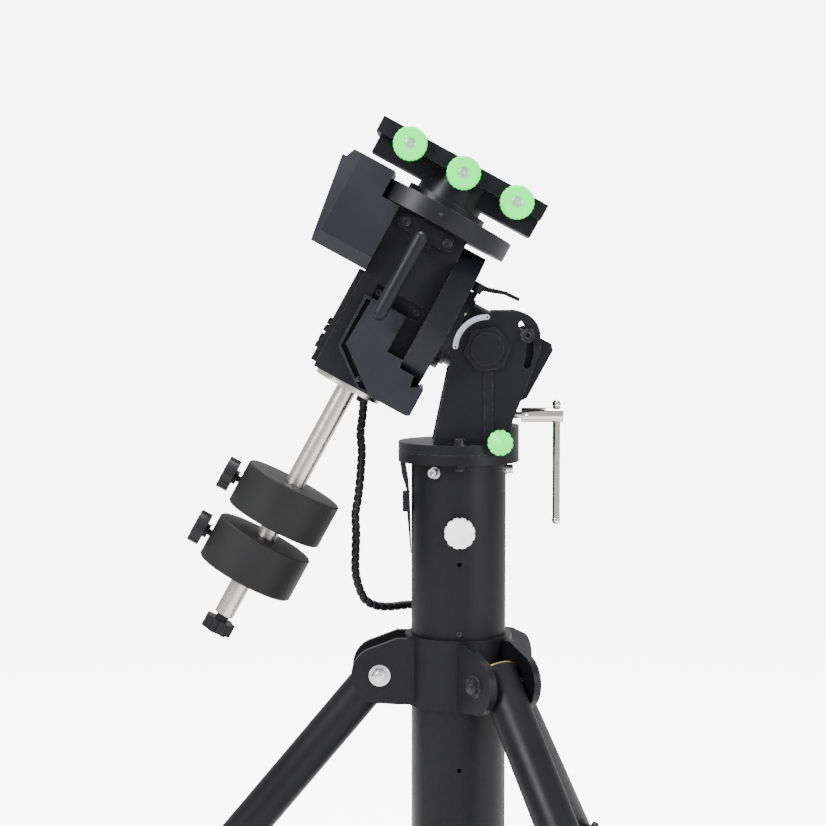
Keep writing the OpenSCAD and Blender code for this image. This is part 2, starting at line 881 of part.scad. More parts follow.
module saddle_base() {
    color("#2b2b2e") at_head() difference() {
        union() {
            block([saddle_w0 + 7, -35, 177], [saddle_w0 + saddle_l + 7, 35, 207]);
            along_saddle() polygon([[-saddle_front, 206], [saddle_front, 206],
                [saddle_front, 231], [35, 231], [41, 217], [-saddle_front, 217]]);
        }
        translate([dec_w, 0, 170]) cylinder(h = 36, r = 52);
        for (k = [-1, 0, 1]) {
            translate([dec_w + k * knob_pitch, 0, knob_u])
                rod_y(-saddle_front - 1, -30, 4 + running, 48);
        }
    }
}

// Clamp jaw: a front plate carries the knobs, and its lip lies over the saddle's floor
module saddle_jaw() {
    color("#29292c") at_head() difference() {
        along_saddle() polygon([[-saddle_front - 14, 206], [-saddle_front - 0.3, 206],
            [-saddle_front - 0.3, 217.3], [-46, 217.3], [-40, 231], [-saddle_front - 14, 231]]);
        for (k = [-1, 0, 1]) {
            translate([dec_w + k * knob_pitch, 0, knob_u])
                rod_y(-saddle_front - 15, -saddle_front, 4 + running, 48);
        }
    }
}

module saddle_knob(k) {
    color("#58e878") at_head() translate([dec_w + k * knob_pitch, -saddle_front - 14.5, knob_u])
        rotate([90, 0, 0]) {
            difference() {
                union() {
                    cylinder(h = 3, r = 12);
                    translate([0, 0, 2]) cylinder(h = 16, r = 25.5);
                    translate([0, 0, 18]) cylinder(h = 2, r1 = 25.5, r2 = 23);
                }
                for (n = [0 : 23]) {
                    rotate([0, 0, 15 * n]) translate([26.5, 0, 1]) cylinder(h = 20, r = 1.8, $fn = 24);
                }
                translate([0, 0, 15]) cylinder(h = 6, r = 8.5);
            }
            translate([0, 0, 15]) cap_screw(8, 4, 3.9, 1);
            translate([0, 0, -36]) cylinder(h = 37, r = 4);
        }
}

pier_tube();
pier_flange();
pier_side_screws();
leg_collar();
brace_hub();
leg_bolts();
cable_junction();
cable_strap();
pier_knob();
leg(leg_angles[0]);  // leg_1
leg(leg_angles[1]);  // leg_2
leg(leg_angles[2]);  // leg_3
brace(leg_angles[0]);  // brace_1
brace(leg_angles[1]);  // brace_2
brace(leg_angles[2]);  // brace_3
foot(leg_angles[0]);  // foot_1
foot(leg_angles[1]);  // foot_2
foot(leg_angles[2]);  // foot_3
altaz_yoke();
hex_covers();
latitude_scale();
yoke_bolts();
azimuth_knob(-1);  // azimuth_knob_front
azimuth_knob(1);  // azimuth_knob_back
altitude_crank();
tommy_bar();
ra_housing();
altitude_pins();
ra_bearings();
ra_worm_wheel();
ra_clutch_lever();
ra_shaft();
ra_disc();
dec_housing();
ra_drive_cover();
carry_handle();
head_screws();
connector_panel();
worm_shafts();
drive_motors();
dec_disc();
dec_drive_cover();
dec_bearings();
weight_shaft();
shaft_disc();
weight(weight_upper_u);  // weight_upper
weight(weight_lower_u);  // weight_lower
weight_knob(weight_upper_u);  // weight_knob_upper
weight_knob(weight_lower_u);  // weight_knob_lower
shaft_end_knob();
dec_shaft();
dec_worm_wheel();
saddle_base();
saddle_jaw();
saddle_knob(-1);  // saddle_knob_1
saddle_knob(0);  // saddle_knob_2
saddle_knob(1);  // saddle_knob_3
cable_span(0, 8, 0.03);  // cable_head
cable_span(8, 13, 0.04);  // cable_drop
cable_span(13, 18, 0.09);  // cable_foot
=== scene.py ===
"""Equatorial head on a pier with three folding legs, dressed for a studio view.

Lengths are in metres in the CAD frame: +Z up the pier, +X towards the low end of the
polar axis, and -Y towards the side with the carrying handle and the saddle knobs.
"""

import logging
import math
from dataclasses import dataclass, field
from enum import Enum

import bpy
import numpy as np
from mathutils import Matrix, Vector


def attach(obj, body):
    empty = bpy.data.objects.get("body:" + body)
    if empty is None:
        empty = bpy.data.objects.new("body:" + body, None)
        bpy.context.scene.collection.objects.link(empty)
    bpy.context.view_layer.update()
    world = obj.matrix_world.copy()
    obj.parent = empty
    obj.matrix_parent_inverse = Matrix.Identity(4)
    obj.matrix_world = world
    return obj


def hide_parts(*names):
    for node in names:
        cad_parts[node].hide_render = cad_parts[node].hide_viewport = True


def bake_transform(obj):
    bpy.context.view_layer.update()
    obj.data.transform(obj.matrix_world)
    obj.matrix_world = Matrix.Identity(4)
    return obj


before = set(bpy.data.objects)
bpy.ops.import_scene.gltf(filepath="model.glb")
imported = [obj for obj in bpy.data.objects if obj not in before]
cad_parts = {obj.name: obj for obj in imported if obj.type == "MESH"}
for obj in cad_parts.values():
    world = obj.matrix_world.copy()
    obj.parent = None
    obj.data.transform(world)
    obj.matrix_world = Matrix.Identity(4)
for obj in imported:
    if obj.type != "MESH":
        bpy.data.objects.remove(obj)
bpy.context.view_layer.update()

log = logging.getLogger("mount")

LATITUDE = math.radians(28.6)
PIVOT = np.array([0.0413, 0.0, 1.0074])
POLAR = np.array([math.cos(LATITUDE), 0.0, -math.sin(LATITUDE)])
UPPER = np.array([math.sin(LATITUDE), 0.0, math.cos(LATITUDE)])
FRONT = np.array([0.0, -1.0, 0.0])
RIGHT = np.array([1.0, 0.0, 0.0])
UP = np.array([0.0, 0.0, 1.0])
MM = 0.001


class Finish(Enum):
    """The finishes that a node or a piece can be given."""

    PIER = "pier_powder_coat"
    HEAD = "head_powder_coat"
    COVER = "drive_cover_shell"
    WEIGHT = "weight_coating"
    GREEN = "green_knob"
    WHITE = "white_knob"
    BLACK = "black_moulding"
    SHAFT = "turned_shaft"
    STEEL = "plain_steel"
    CHROME = "bright_plate"
    SCREW = "black_oxide"
    SCALE = "scale_plate"
    BRASS = "worm_wheel_brass"
    BRONZE = "bronze_washer"
    RUBBER = "foot_rubber"
    WRAP = "spiral_wrap"


def at_head(w: float, y: float, u: float) -> np.ndarray:
    """Turn head coordinates into the CAD frame: pivot + w down the axis + u across it.

    Args:
        w: Millimetres from the altitude pivot down the polar axis.
        y: Millimetres across the head, with the front negative.
        u: Millimetres up the declination direction.

    Returns:
        The point in metres.
    """
    return PIVOT + (w * POLAR + u * UPPER - y * FRONT) * MM


def across(axis: np.ndarray) -> tuple[np.ndarray, np.ndarray]:
    """Find two unit directions square to an axis and to each other.

    Args:
        axis: A unit direction.

    Returns:
        The two directions, which make a right-handed set with the axis.
    """
    helper = UP if abs(axis[2]) < 0.8 else RIGHT
    first = np.cross(helper, axis)
    first /= np.linalg.norm(first)
    return first, np.cross(axis, first)


class Tree:
    """Builds the node tree of one material or one shader group."""

    def __init__(self, tree: bpy.types.NodeTree) -> None:
        """Take over a node tree and empty it.

        Args:
            tree: The tree to build in.
        """
        self.tree = tree
        tree.nodes.clear()

    def add(self, kind: str, **values: object) -> bpy.types.Node:
        """Add a node and set its attributes.

        Args:
            kind: Blender's name of the node type.
            **values: Attributes of the node.

        Returns:
            The new node.
        """
        node = self.tree.nodes.new(kind)
        for name, value in values.items():
            setattr(node, name, value)
        return node

    def put(self, socket: bpy.types.NodeSocket, value: object) -> None:
        """Link a socket, or set its own value.

        Args:
            socket: The input socket.
            value: An output socket to link, or a plain value.
        """
        if isinstance(value, bpy.types.NodeSocket):
            self.tree.links.new(value, socket)
        else:
            socket.default_value = value

    def math(self, how: str, a: object, b: object = 0.0) -> bpy.types.NodeSocket:
        """Combine two values with one Math node.

        Args:
            how: The operation of the Math node.
            a: The first value or socket.
            b: The second value or socket.

        Returns:
            The result socket.
        """
        node = self.add("ShaderNodeMath", operation=how)
        self.put(node.inputs[0], a)
        self.put(node.inputs[1], b)
        return node.outputs[0]

    def remap(
        self, value: object, low: float, high: float, to_low: object, to_high: object
    ) -> bpy.types.NodeSocket:
        """Carry a value from one range to another, held at both ends.

        Args:
            value: The value or socket to carry over.
            low: The start of the first range.
            high: The end of the first range.
            to_low: The start of the second range.
            to_high: The end of the second range.

        Returns:
            The result socket.
        """
        node = self.add("ShaderNodeMapRange")
        for socket, item in zip(node.inputs, (value, low, high, to_low, to_high)):
            self.put(socket, item)
        return node.outputs[0]

    def mix(self, factor: object, a: object, b: object) -> bpy.types.NodeSocket:
        """Mix two colours.

        Args:
            factor: How much of the second colour.
            a: The first colour.
            b: The second colour.

        Returns:
            The mixed colour.
        """
        node = self.add("ShaderNodeMix", data_type="RGBA")
        self.put(node.inputs[0], factor)
        self.put(node.inputs[6], a)
        self.put(node.inputs[7], b)
        return node.outputs[2]

    def noise(self, vector: object, scale: object, detail: float = 3.0) -> bpy.types.NodeSocket:
        """Add a noise pattern.

        Args:
            vector: Where the noise is read.
            scale: Waves in each metre.
            detail: How many finer layers it has.

        Returns:
            The noise value, around one half.
        """
        node = self.add("ShaderNodeTexNoise")
        self.put(node.inputs["Vector"], vector)
        self.put(node.inputs["Scale"], scale)
        node.inputs["Detail"].default_value = detail
        return node.outputs["Fac"]


def new_group(
    name: str, inputs: dict[str, tuple[str, object]], outputs: dict[str, str]
) -> tuple[bpy.types.NodeTree, Tree, bpy.types.Node, bpy.types.Node]:
    """Make an empty shader group with named sockets.

    Args:
        name: The group's name.
        inputs: Each input's socket type and default.
        outputs: Each output's socket type.

    Returns:
        The group, its builder, its input node and its output node.
    """
    group = bpy.data.node_groups.new(name, "ShaderNodeTree")
    for label, (kind, value) in inputs.items():
        socket = group.interface.new_socket(label, in_out="INPUT", socket_type=kind)
        socket.default_value = value
    for label, kind in outputs.items():
        group.interface.new_socket(label, in_out="OUTPUT", socket_type=kind)
    tree = Tree(group)
    return group, tree, tree.add("NodeGroupInput"), tree.add("NodeGroupOutput")


NUMBER = "NodeSocketFloat"
VECTOR = "NodeSocketVector"


class Groups:
    """The shader groups that several finishes share."""

    def __init__(self) -> None:
        """Build each group once."""
        self.grain = self.build_grain()
        self.wear = self.build_wear()
        self.brushing = self.build_brushing()

    def build_grain(self) -> bpy.types.NodeTree:
        """Fine pebbled skin with slow cloudy changes of tone and gloss.

        Returns:
            The group, with a tone mask, a roughness and a height.
        """
        group, tree, source, sink = new_group(
            "coating_grain",
            {"Grain": (NUMBER, 900.0), "Roughness": (NUMBER, 0.45), "Spread": (NUMBER, 0.08)},
            {"Tone": NUMBER, "Roughness": NUMBER, "Height": NUMBER},
        )
        place = tree.add("ShaderNodeTexCoord").outputs["Object"]
        clouds = tree.noise(place, 9.0, 4.0)
        pebbles = tree.noise(place, source.outputs["Grain"], 2.0)
        swing = tree.math("MULTIPLY", tree.math("SUBTRACT", clouds, 0.5), source.outputs["Spread"])
        rough = tree.math("ADD", source.outputs["Roughness"], tree.math("MULTIPLY", swing, 3.0))
        tree.put(sink.inputs["Tone"], tree.remap(clouds, 0.3, 0.7, 0.0, 1.0))
        tree.put(sink.inputs["Roughness"], rough)
        tree.put(sink.inputs["Height"], pebbles)
        return group

    def build_wear(self) -> bpy.types.NodeTree:
        """Rubbed edges: where a rounded normal leaves the true one, broken up by noise.

        Returns:
            The group, with a mask that is 1 on a worn edge.
        """
        group, tree, source, sink = new_group(
            "edge_wear",
            {"Width": (NUMBER, 0.0012), "Amount": (NUMBER, 0.5)},
            {"Mask": NUMBER},
        )
        place = tree.add("ShaderNodeTexCoord").outputs["Object"]
        bevel = tree.add("ShaderNodeBevel", samples=4)
        tree.put(bevel.inputs["Radius"], source.outputs["Width"])
        dot = tree.add("ShaderNodeVectorMath", operation="DOT_PRODUCT")
        tree.put(dot.inputs[0], bevel.outputs["Normal"])
        tree.put(dot.inputs[1], tree.add("ShaderNodeNewGeometry").outputs["True Normal"])
        edge = tree.remap(dot.outputs["Value"], 0.985, 0.86, 0.0, 1.0)
        broken = tree.remap(tree.noise(place, 160.0, 5.0), 0.42, 0.62, 0.0, 1.0)
        worn = tree.math("MULTIPLY", edge, broken)
        tree.put(sink.inputs["Mask"], tree.math("MULTIPLY", worn, source.outputs["Amount"]))
        return group

    def build_brushing(self) -> bpy.types.NodeTree:
        """Turned or brushed metal: noise squeezed along the tool's direction.

        Returns:
            The group, with a tone mask, a roughness and a height.
        """
        group, tree, source, sink = new_group(
            "tool_lines",
            {"Turn": (VECTOR, (0.0, 0.0, 0.0)), "Lines": (NUMBER, 900.0), "Roughness": (NUMBER, 0.28)},
            {"Tone": NUMBER, "Roughness": NUMBER, "Height": NUMBER},
        )
        place = tree.add("ShaderNodeTexCoord").outputs["Object"]
        mapping = tree.add("ShaderNodeMapping")
        tree.put(mapping.inputs["Vector"], place)
        tree.put(mapping.inputs["Rotation"], source.outputs["Turn"])
        squeezed = tree.add("ShaderNodeVectorMath", operation="MULTIPLY")
        tree.put(squeezed.inputs[0], mapping.outputs[0])
        squeezed.inputs[1].default_value = (0.03, 0.03, 1.0)
        lines = tree.noise(squeezed.outputs[0], source.outputs["Lines"], 3.0)
        clouds = tree.noise(place, 22.0, 3.0)
        swing = tree.math("MULTIPLY", tree.math("SUBTRACT", lines, 0.5), 0.22)
        rough = tree.math("ADD", source.outputs["Roughness"], swing)
        tree.put(sink.inputs["Tone"], tree.math("MULTIPLY", tree.math("ADD", lines, clouds), 0.5))
        tree.put(sink.inputs["Roughness"], rough)
        tree.put(sink.inputs["Height"], lines)
        return group


@dataclass(frozen=True)
class Coating:
    """A painted, moulded or rubber skin: base and cloud colours, grain and rubbed edges."""

    name: str
    base: tuple[float, float, float]
    cloud: tuple[float, float, float]
    worn: tuple[float, float, float] = (0.07, 0.07, 0.075)
    roughness: float = 0.45
    spread: float = 0.08
    grain: float = 900.0
    depth: float = 0.12
    wear: float = 0.45
    coat: float = 0.0
    gloss: float = 0.14

    def build(self, groups: Groups) -> bpy.types.Material:
        """Make the material.

        Args:
            groups: The shared shader groups.

        Returns:
            The material.
        """
        material, tree, shader = new_material(self.name)
        grain = tree.add("ShaderNodeGroup", node_tree=groups.grain)
        tree.put(grain.inputs["Grain"], self.grain)
        tree.put(grain.inputs["Roughness"], self.roughness)
        tree.put(grain.inputs["Spread"], self.spread)
        wear = tree.add("ShaderNodeGroup", node_tree=groups.wear)
        tree.put(wear.inputs["Amount"], self.wear)
        body = tree.mix(grain.outputs["Tone"], (*self.base, 1.0), (*self.cloud, 1.0))
        tree.put(shader.inputs["Base Color"], tree.mix(wear.outputs["Mask"], body, (*self.worn, 1.0)))
        tree.put(shader.inputs["Roughness"], grain.outputs["Roughness"])
        shader.inputs["Specular IOR Level"].default_value = self.gloss
        shader.inputs["Coat Weight"].default_value = self.coat
        shader.inputs["Coat Roughness"].default_value = 0.25
        add_bump(tree, shader, grain.outputs["Height"], self.depth)
        return material


@dataclass(frozen=True)
class Metal:
    """A bare or plated metal with tool lines."""

    name: str
    base: tuple[float, float, float]
    cloud: tuple[float, float, float]
    roughness: float = 0.28
    lines: float = 900.0
    turn: tuple[float, float, float] = (0.0, 0.0, 0.0)
    depth: float = 0.08

    def build(self, groups: Groups) -> bpy.types.Material:
        """Make the material.

        Args:
            groups: The shared shader groups.

        Returns:
            The material.
        """
        material, tree, shader = new_material(self.name)
        tool = tree.add("ShaderNodeGroup", node_tree=groups.brushing)
        tree.put(tool.inputs["Turn"], self.turn)
        tree.put(tool.inputs["Lines"], self.lines)
        tree.put(tool.inputs["Roughness"], self.roughness)
        colour = tree.mix(tool.outputs["Tone"], (*self.base, 1.0), (*self.cloud, 1.0))
        tree.put(shader.inputs["Base Color"], colour)
        tree.put(shader.inputs["Roughness"], tool.outputs["Roughness"])
        shader.inputs["Metallic"].default_value = 1.0
        add_bump(tree, shader, tool.outputs["Height"], self.depth)
        return material


@dataclass(frozen=True)
class ScalePlate:
    """A satin silver arc with plain black degree lines around the altitude pivot."""

    name: str = Finish.SCALE.value

    def build(self, groups: Groups) -> bpy.types.Material:
        """Make the material: a line wherever the angle is near a whole step.

        Args:
            groups: The shared shader groups.

        Returns:
            The material.
        """
        material, tree, shader = new_material(self.name)
        place = tree.add("ShaderNodeSeparateXYZ")
        tree.put(place.inputs[0], tree.add("ShaderNodeTexCoord").outputs["Object"])
        x = tree.math("SUBTRACT", place.outputs["X"], float(PIVOT[0]))
        z = tree.math("SUBTRACT", place.outputs["Z"], float(PIVOT[2]))
        degrees = tree.math("MULTIPLY", tree.math("ARCTAN2", z, x), 180.0 / math.pi)
        radius = tree.math("SQRT", tree.math("ADD", tree.math("MULTIPLY", x, x), tree.math("MULTIPLY", z, z)))

        def ticks(step: float, width: float, reach: float) -> bpy.types.NodeSocket:
            """Draw lines on the scale out to a radius.

            Args:
                step: Degrees from one line to the next.
                width: Half the thickness of a line, in degrees.
                reach: Radius where the lines end, in metres.

            Returns:
                A mask that is 1 on the lines.
            """
            turn = tree.math("FRACT", tree.math("ADD", tree.math("DIVIDE", degrees, step), 100.5))
            near = tree.math("ABSOLUTE", tree.math("SUBTRACT", turn, 0.5))
            line = tree.math("LESS_THAN", near, width / step)
            inside = tree.math("LESS_THAN", radius, reach)
            clear = tree.math("GREATER_THAN", radius, 0.0446)
            return tree.math("MULTIPLY", tree.math("MULTIPLY", line, inside), clear)

        ink = tree.math("MAXIMUM", ticks(2.0, 0.26, 0.0468), ticks(10.0, 0.4, 0.0492))
        tool = tree.add("ShaderNodeGroup", node_tree=groups.brushing)
        tree.put(tool.inputs["Roughness"], 0.38)
        silver = tree.mix(tool.outputs["Tone"], (0.50, 0.50, 0.58, 1.0), (0.62, 0.62, 0.70, 1.0))
        tree.put(shader.inputs["Base Color"], tree.mix(ink, silver, (0.03, 0.03, 0.035, 1.0)))
        tree.put(shader.inputs["Roughness"], tool.outputs["Roughness"])
        tree.put(shader.inputs["Metallic"], tree.remap(ink, 0.0, 1.0, 0.75, 0.0))
        return material


def new_material(name: str) -> tuple[bpy.types.Material, Tree, bpy.types.Node]:
    """Start a material with one surface shader.

    Args:
        name: The material's name.

    Returns:
        The material, its builder and its shader node.
    """
    material = bpy.data.materials.new(name)
    material.use_nodes = True
    tree = Tree(material.node_tree)
    shader = tree.add("ShaderNodeBsdfPrincipled")
    output = tree.add("ShaderNodeOutputMaterial")
    tree.put(output.inputs["Surface"], shader.outputs["BSDF"])
    return material, tree, shader


def add_bump(tree: Tree, shader: bpy.types.Node, height: bpy.types.NodeSocket, strength: float) -> None:
    """Lead a height into the shader's normal.

    Args:
        tree: The material's builder.
        shader: The surface shader.
        height: The height socket.
        strength: How strongly the height shows.
    """
    bump = tree.add("ShaderNodeBump")
    bump.inputs["Strength"].default_value = strength
    bump.inputs["Distance"].default_value = 0.0006
    tree.put(bump.inputs["Height"], height)
    tree.put(shader.inputs["Normal"], bump.outputs["Normal"])


class Paintbox:
    """Every finish of the mount, made once."""

    recipes = (
        Coating(
            Finish.PIER.value, (0.0030, 0.0030, 0.0038), (0.0048, 0.0048, 0.0058), roughness=0.44,
            grain=1400.0, wear=0.25,
        ),
        Coating(
            Finish.HEAD.value, (0.0040, 0.0040, 0.0056), (0.0066, 0.0066, 0.0086), roughness=0.38,
            grain=1800.0, depth=0.08, wear=0.7, worn=(0.10, 0.10, 0.11),
        ),
        Coating(
            Finish.COVER.value, (0.0095, 0.0095, 0.0125), (0.0135, 0.0135, 0.0170), roughness=0.42,
            grain=1200.0, wear=0.6,
        ),
        Coating(
            Finish.WEIGHT.value, (0.0065, 0.0065, 0.0070), (0.0100, 0.0100, 0.0106), roughness=0.56,
            grain=700.0, depth=0.35, wear=0.25,
        ),
        Coating(
            Finish.GREEN.value, (0.012, 0.80, 0.075), (0.020, 0.88, 0.11), (0.06, 0.95, 0.20),
            roughness=0.36, spread=0.05, wear=0.3, coat=0.2,
        ),
        Coating(
            Finish.WHITE.value, (0.74, 0.74, 0.76), (0.82, 0.82, 0.83), (0.88, 0.88, 0.88),
            roughness=0.38, spread=0.05, wear=0.2, coat=0.2,
        ),
        Coating(
            Finish.BLACK.value, (0.006, 0.006, 0.0065), (0.010, 0.010, 0.011), roughness=0.42,
            grain=1300.0, wear=0.25,
        ),
        Coating(
            Finish.SCREW.value, (0.008, 0.008, 0.009), (0.014, 0.014, 0.015), (0.20, 0.19, 0.19),
            roughness=0.3, wear=0.8,
        ),
        Coating(
            Finish.RUBBER.value, (0.018, 0.018, 0.018), (0.030, 0.030, 0.029), (0.05, 0.05, 0.05),
            roughness=0.78, grain=500.0, depth=0.3,
        ),
        Coating(
            Finish.WRAP.value, (0.005, 0.005, 0.006), (0.009, 0.009, 0.010), (0.03, 0.03, 0.03),
            roughness=0.33, wear=0.15,
        ),
        Metal(
            Finish.SHAFT.value, (0.38, 0.355, 0.325), (0.56, 0.53, 0.49), 0.29, 1100.0,
            (0.0, -LATITUDE, 0.0),
        ),
        Metal(Finish.STEEL.value, (0.46, 0.46, 0.47), (0.62, 0.62, 0.63), 0.30),
        Metal(Finish.CHROME.value, (0.46, 0.44, 0.41), (0.58, 0.56, 0.53), 0.12, 500.0, depth=0.02),
        Metal(Finish.BRASS.value, (0.45, 0.31, 0.12), (0.62, 0.46, 0.20), 0.30),
        Metal(Finish.BRONZE.value, (0.24, 0.15, 0.07), (0.38, 0.25, 0.12), 0.42),
        ScalePlate(),
    )

    def __init__(self) -> None:
        """Build the groups and each finish."""
        groups = Groups()
        self.materials = {recipe.name: recipe.build(groups) for recipe in self.recipes}

    def dress(self, piece: bpy.types.Object, finish: Finish) -> None:
        """Give a node or a piece its finish on every slot.

        Args:
            piece: The object.
            finish: The finish.
        """
        material = self.materials[finish.value]
        if not piece.material_slots:
            piece.data.materials.append(material)
        for slot in piece.material_slots:
            slot.material = material


def grid_faces(rows: int, columns: int, closed: bool = True) -> np.ndarray:
    """List the four-sided faces of a grid of points.

    Args:
        rows: Points along the first parameter.
        columns: Points around the second parameter.
        closed: Whether the last column joins the first.

    Returns:
        Four point numbers for each face.
    """
    i, j = np.meshgrid(np.arange(rows - 1), np.arange(columns if closed else columns - 1), indexing="ij")
    k = (j + 1) % columns
    corners = [i * columns + j, i * columns + k, (i + 1) * columns + k, (i + 1) * columns + j]
    return np.stack(corners, -1).reshape(-1, 4)


def make_piece(name: str, points: np.ndarray, faces: list, smooth: float = 35.0) -> bpy.types.Object:
    """Put points and faces into a new object at the origin.

    Args:
        name: The piece's name.
        points: Its points, in metres.
        faces: Point numbers of each face.
        smooth: The angle in degrees below which neighbouring faces shade as one.

    Returns:
        The object.
    """
    mesh = bpy.data.meshes.new(name)
    mesh.from_pydata(points.reshape(-1, 3).tolist(), [], faces)
    mesh.update()
    mesh.polygons.foreach_set("use_smooth", np.ones(len(mesh.polygons), bool))
    mesh.set_sharp_from_angle(angle=math.radians(smooth))
    piece = bpy.data.objects.new(name, mesh)
    bpy.context.scene.collection.objects.link(piece)
    return piece


def turned(
    name: str, profile: np.ndarray, centre: np.ndarray, axis: np.ndarray,
    around: int = 64, sides: np.ndarray | None = None,
) -> bpy.types.Object:
    """Revolve a closed profile: each point is centre + height * axis + radius * (cos, sin).

    Args:
        name: The piece's name.
        profile: Rows of (radius, height) in millimetres, from the axis round to the axis.
        centre: Where height is zero, in metres.
        axis: The unit direction of height.
        around: Points round the axis.
        sides: How many flat sides each row has, or 0 for a round row.

    Returns:
        The piece, closed at both poles.
    """
    first, second = across(axis)
    angle = np.linspace(0.0, 2.0 * np.pi, around, endpoint=False)
    radius = np.repeat(profile[:, :1], around, axis=1)
    if sides is not None:
        count = np.maximum(sides, 1)[:, None]
        sector = np.mod(angle[None, :], 2.0 * np.pi / count) - np.pi / count
        flat = np.cos(np.pi / count) / np.cos(sector)
        radius = np.where(sides[:, None] > 0, radius * flat, radius)
    ring = np.cos(angle)[None, :, None] * first + np.sin(angle)[None, :, None] * second
    points = centre + MM * (radius[:, :, None] * ring + profile[:, 1][:, None, None] * axis)
    rows = len(profile)
    faces = grid_faces(rows, around).tolist()
    body = points.reshape(-1, 3)
    ends = np.array([centre + MM * profile[0, 1] * axis, centre + MM * profile[-1, 1] * axis])
    low, high, last = rows * around, rows * around + 1, (rows - 1) * around
    faces += [[low, (j + 1) % around, j] for j in range(around)]
    faces += [[high, last + j, last + (j + 1) % around] for j in range(around)]
    return make_piece(name, np.vstack([body, ends]), faces)


def washer(
    name: str, inner: float, outer: float, low: float, high: float,
    centre: np.ndarray, axis: np.ndarray,
) -> bpy.types.Object:
    """Make a flat ring with small rounded edges, as a closed loop of rings.

    Args:
        name: The piece's name.
        inner: Inside radius in millimetres.
        outer: Outside radius in millimetres.
        low: Height of its lower face.
        high: Height of its upper face.
        centre: Where height is zero.
        axis: The unit direction of height.

    Returns:
        The closed ring.
    """
    edge = min(0.3, (high - low) * 0.3)
    loop = np.array([
        [inner, low + edge], [inner + edge, low], [outer - edge, low], [outer, low + edge],
        [outer, high - edge], [outer - edge, high], [inner + edge, high], [inner, high - edge],
    ])
    first, second = across(axis)
    angle = np.linspace(0.0, 2.0 * np.pi, 72, endpoint=False)
    ring = np.cos(angle)[None, :, None] * first + np.sin(angle)[None, :, None] * second
    points = centre + MM * (loop[:, 0][:, None, None] * ring + loop[:, 1][:, None, None] * axis)
    faces = grid_faces(len(loop) + 1, len(angle)) % (len(loop) * len(angle))
    return make_piece(name, points, faces.tolist())


@dataclass
class Studio:
    """The camera, the floor and the soft lights.

    Attributes:
        middle: X and Z of the point that the camera looks at.
        eye: Where the camera stands.
        lens: Its focal length in millimetres.
        sensor: The width of its sensor in millimetres.
        white: Strength of the backdrop and the floor as the camera sees them.
        lit: The point that the lights face.
    """

    middle: tuple[float, float] = (-0.070, 0.907)
    eye: tuple[float, float, float] = (-0.070, -3.060, 1.123)
    lens: float = 87.2
    sensor: float = 36.0
    white: float = 7.0
    lit: tuple[float, float, float] = (-0.05, 0.0, 0.85)

    def camera(self) -> None:
        """Set the camera at head height and tip it down to the middle of the object."""
        data = bpy.data.cameras.new("camera")
        data.lens = self.lens
        data.sensor_width = self.sensor
        tip = math.atan2(self.eye[2] - self.middle[1], -self.eye[1])
        camera = bpy.data.objects.new("camera", data)
        camera.location = self.eye
        camera.rotation_euler = (math.pi / 2.0 - tip, 0.0, 0.0)
        bpy.context.scene.collection.objects.link(camera)
        bpy.context.scene.camera = camera

    def light(self, name: str, place: tuple[float, float, float], size: float, power: float) -> None:
        """Hang one square soft light that faces the head.

        Args:
            name: The light's name.
            place: Where it hangs.
            size: The length of its side.
            power: Its power in watts.
        """
        data = bpy.data.lights.new(name, "AREA")
        data.size = size
        data.energy = power
        lamp = bpy.data.objects.new(name, data)
        lamp.location = place
        aim = Vector(self.lit) - lamp.location
        lamp.rotation_euler = aim.to_track_quat("-Z", "Y").to_euler()
        bpy.context.scene.collection.objects.link(lamp)

    def floor(self) -> None:
        """Lay a wide pale floor with a very faint mottle."""
        points = np.array([[-14, -14, 0], [14, -14, 0], [14, 14, 0], [-14, 14, 0]], float)
        floor = make_piece("floor", points, [[0, 1, 2, 3]])
        material, tree, shader = new_material("pale_floor")
        place = tree.add("ShaderNodeTexCoord").outputs["Object"]
        mottle = tree.mix(tree.noise(place, 3.0), (0.93, 0.93, 0.93, 1.0), (0.96, 0.96, 0.96, 1.0))
        tree.put(shader.inputs["Base Color"], mottle)
        shader.inputs["Roughness"].default_value = 0.7
        seen = tree.add("ShaderNodeLightPath").outputs["Is Camera Ray"]
        shader.inputs["Emission Color"].default_value = (1.0, 1.0, 1.0, 1.0)
        tree.put(shader.inputs["Emission Strength"], tree.remap(seen, 0.0, 1.0, 0.0, self.white - 1.0))
        floor.data.materials.append(material)

    def build(self) -> None:
        """Make the whole studio."""
        self.camera()
        self.floor()
        world = bpy.data.worlds.new("studio")
        bpy.context.scene.world = world
        world.use_nodes = True
        tree = Tree(world.node_tree)
        backdrop = tree.add("ShaderNodeBackground")
        backdrop.inputs["Color"].default_value = (1.0, 1.0, 1.0, 1.0)
        seen = tree.add("ShaderNodeLightPath").outputs["Is Camera Ray"]
        tree.put(backdrop.inputs["Strength"], tree.remap(seen, 0.0, 1.0, 1.05, self.white))
        tree.put(tree.add("ShaderNodeOutputWorld").inputs["Surface"], backdrop.outputs["Background"])
        self.light("key_light", (-2.0, -2.2, 2.9), 1.2, 230.0)
        self.light("fill_light", (2.4, -2.2, 1.5), 1.0, 100.0)
        self.light("top_light", (0.2, 0.5, 3.2), 1.2, 220.0)


